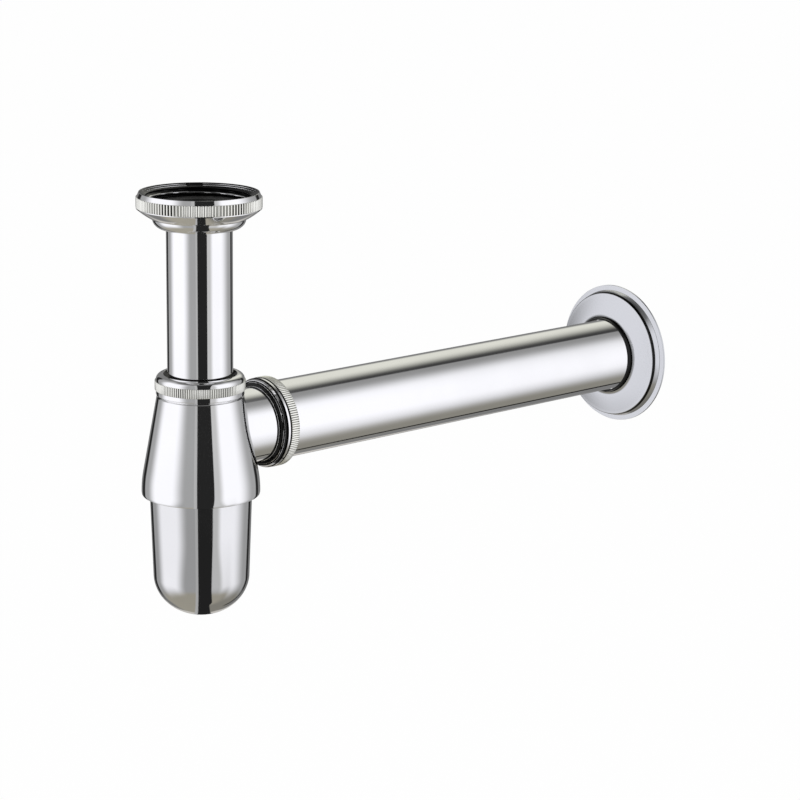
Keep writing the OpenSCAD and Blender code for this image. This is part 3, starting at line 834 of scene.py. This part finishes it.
# %% Finish the rings
for name, finish in (("inlet_washer", black_rubber), ("gland_seal", black_rubber),
                     ("outlet_washer", black_rubber), ("cup_gasket", black_rubber),
                     ("gland_slip_ring", natural_nylon), ("outlet_slip_ring", natural_nylon)):
    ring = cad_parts[name]
    for material_slot in ring.material_slots:
        material_slot.material = finish
print("rings finished")

# %% [markdown]
# ## Studio
# Chrome shows nothing but the room round it, so the room is most of its finish. A photographer
# of polished metal surrounds it with large soft boxes and then sets black cards between them,
# because a dark line is what makes a round tube read as round. The world is that room, laid
# out by the direction seen from the trap: two soft boxes, a black card towards the camera, two
# narrow ones behind, a grey fill and a grey floor. What isn't metal sees an even pale light.

# %% Soft boxes and cards
CAMERA_SIDE = math.radians(-126.77)
CAMERA_ABOVE = math.radians(14)
world = bpy.data.worlds.new("studio")
bpy.context.scene.world = world
room = empty_tree(world)
direction = room.node("ShaderNodeTexCoord", output="Generated")
parts = room.node("ShaderNodeSeparateXYZ", {}, {0: direction}, output="X")
x, y, z = (Wire(room.tree, parts.socket.node.outputs[axis]) for axis in "XYZ")
ahead = x * math.cos(CAMERA_SIDE) + y * math.sin(CAMERA_SIDE)
aside = y * math.cos(CAMERA_SIDE) - x * math.sin(CAMERA_SIDE)
around = room.math("ARCTAN2", aside, ahead) * (180 / math.pi)
up = room.math("ARCSINE", z) * (180 / math.pi)
behind = room.math("ABSOLUTE", around)


def span(value, start, end, soft, soft_end=None):
    """1 between start and end, with edges that are this soft."""
    soft_end = soft_end or soft
    return eased(value, start - soft / 2, start + soft / 2) * (
        1 - eased(value, end - soft_end / 2, end + soft_end / 2))


NEAR_FLOOR = (0.365, 0.345, 0.29, 1)
SIDE_FLOOR = (0.25, 0.24, 0.21, 1)
FILL = grey(0.37, -0.005)
LAVENDER = (1.03, 1.03, 1.07, 1)
BACK = (0.74, 0.74, 0.67, 1)
WHITE = grey(1.0)
DARK = grey(0.018)

# The empty room: its floor, its even grey and what is left of the light behind the camera's view.
floor_seen = mixed(eased(around, 55, 105), NEAR_FLOOR, SIDE_FLOOR)
seen = mixed(eased(up, -46, -30), floor_seen, FILL)
seen = mixed(eased(around, 84, 110) * eased(up, 26, 44), seen, grey(0.28))
seen = mixed(eased(behind, 136, 150) * eased(up, -54, -42), seen, grey(0.2))
seen = mixed(eased(behind, 162, 168) * span(up, -50, -27, 8), seen, grey(0.58, 0.04))
far = mixed(eased(around, 132, 168), grey(0.05), BACK)
seen = mixed(eased(around, 123, 128) * span(up, 14, 54, 12, 6), seen, far)

# Two soft boxes. Low down they end a little further from the card.
low = 1 - eased(up, -22, -11)
side = eased(around, 66, 88)
box_floor = eased(up, -53, -20)
seen = mixed(span(around, 24, 60, 6, 20) * box_floor * (1 - eased(up, 30, 60)), seen, grey(0.56))
seen = mixed(span(around, 41 + 8 * low, 98, 14, 44) * eased(up, -49 - 13 * side, -8 - 8 * side)
             * (1 - eased(up, 30, 60)), seen, LAVENDER)
seen = mixed(span(around, -111, -45 - 8 * low, 28, 30) * box_floor * (1 - eased(up, 32, 60)),
             seen, LAVENDER)

# Narrow cards behind the trap, which draw its outline, and the ceiling.
seen = mixed(span(around, -154, -138, 5) * span(up, -34, 28, 12, 8), seen, DARK)
seen = mixed(span(around, 133, 147, 5) * span(up, -34, 20, 12), seen, DARK)
seen = mixed(span(around, 137.5, 144.5, 2) * span(up, -56, -34, 6), seen, DARK)
seen = mixed(eased(up, 52, 60), seen, grey(0.17))
seen = mixed(eased(up, 66, 74), seen, grey(0.05))

# The black card before the trap is bent so that a round piece mirrors it as a straight stripe.
# What such a piece mirrors there follows from how far its surface is turned away from the
# camera, and that is half way between the ray and the line of sight.
toward = 2 + 2 * (ahead * math.cos(CAMERA_ABOVE) + z * math.sin(CAMERA_ABOVE))
turn = room.math("DIVIDE", aside, room.math("SQRT", room.math("MAXIMUM", toward, 0.0001)))
right_edge = 0.145 + (0.055 + 0.025 * eased(up, -24, -8)) * eased(ahead, 0, 0.2)
extent = (1 - eased(up, 56, 62)) * (1 - eased(behind, 90, 92) * eased(up, -30, -10))
seen = mixed(span(turn, -0.12, -0.06, 0.012) * extent, seen, grey(0.46))
card = eased(turn, -0.073, -0.063) * (1 - eased(turn - right_edge, -0.006, 0.006)) * extent
seen = mixed(card, seen, DARK)

rays = room.node("ShaderNodeLightPath", output="Is Glossy Ray")
mirrored, clear, direct = (Wire(room.tree, rays.socket.node.outputs[ray]) for ray in (
    "Is Glossy Ray", "Is Transmission Ray", "Is Camera Ray"))
even = room.node("ShaderNodeBackground", {}, {"Color": WHITE, "Strength": 0.85})
studio = room.node("ShaderNodeBackground", {}, {"Color": seen, "Strength": 1.0})
white = room.node("ShaderNodeBackground", {}, {"Color": WHITE, "Strength": 1.0})
lit = room.node("ShaderNodeMixShader", {}, {0: mirrored + clear, 1: even, 2: studio})
shown = room.node("ShaderNodeMixShader", {}, {0: direct, 1: lit, 2: white})
room.node("ShaderNodeOutputWorld", {}, {"Surface": shown})
print("studio: two soft boxes and five cards")

# %% [markdown]
# ## Floor
# The trap hangs over a plain pale floor, about as far up as it would under a basin. To the
# camera the floor is mostly its own even white, and the rest is lit, so that a shadow stays.
# The metal sees the studio's grey floor instead, because a white one would wash out its lower
# half.

# %% Lay the floor
FLOOR_Z, FLOOR_R = -0.62, 14.0
floor_mesh = bpy.data.meshes.new("floor")
rim = [(FLOOR_R * math.cos(a), FLOOR_R * math.sin(a), FLOOR_Z)
       for a in np.arange(96) * 2 * math.pi / 96]
floor_mesh.from_pydata(rim, [], [list(range(len(rim)))])
floor = bpy.data.objects.new("floor", floor_mesh)
bpy.context.collection.objects.link(floor)
floor.visible_glossy = False

paint = bpy.data.materials.new("pale_floor")
tree = empty_tree(paint)
ray = tree.node("ShaderNodeLightPath", output="Is Camera Ray")
matt = tree.node("ShaderNodeBsdfDiffuse", {}, {"Color": grey(0.92)})
glow = tree.node("ShaderNodeEmission", {}, {"Color": WHITE, "Strength": 1.0})
both = tree.node("ShaderNodeMixShader", {}, {0: ray * 0.96, 1: matt, 2: glow})
tree.node("ShaderNodeOutputMaterial", {}, {"Surface": both})
floor_mesh.materials.append(paint)
floor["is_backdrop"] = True

lamp_data = bpy.data.lights.new("soft_box", "AREA")
lamp_data.shape, lamp_data.size, lamp_data.energy = "DISK", 0.9, 6
lamp = bpy.data.objects.new("soft_box", lamp_data)
lamp.location = (-0.7, -0.3, 1.1)
lamp.rotation_euler = (0.25, -0.55, 0)
lamp.visible_glossy = False
bpy.context.collection.objects.link(lamp)
bpy.context.scene.view_settings.view_transform = "Standard"
print("floor at", FLOOR_Z, "m")

# %% [markdown]
# ## Bounds
# The bounds of all that is shown, without the floor, are measured here. The visual model has
# to stay inside the CAD model's box.

# %% Measure the bounds
low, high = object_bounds()
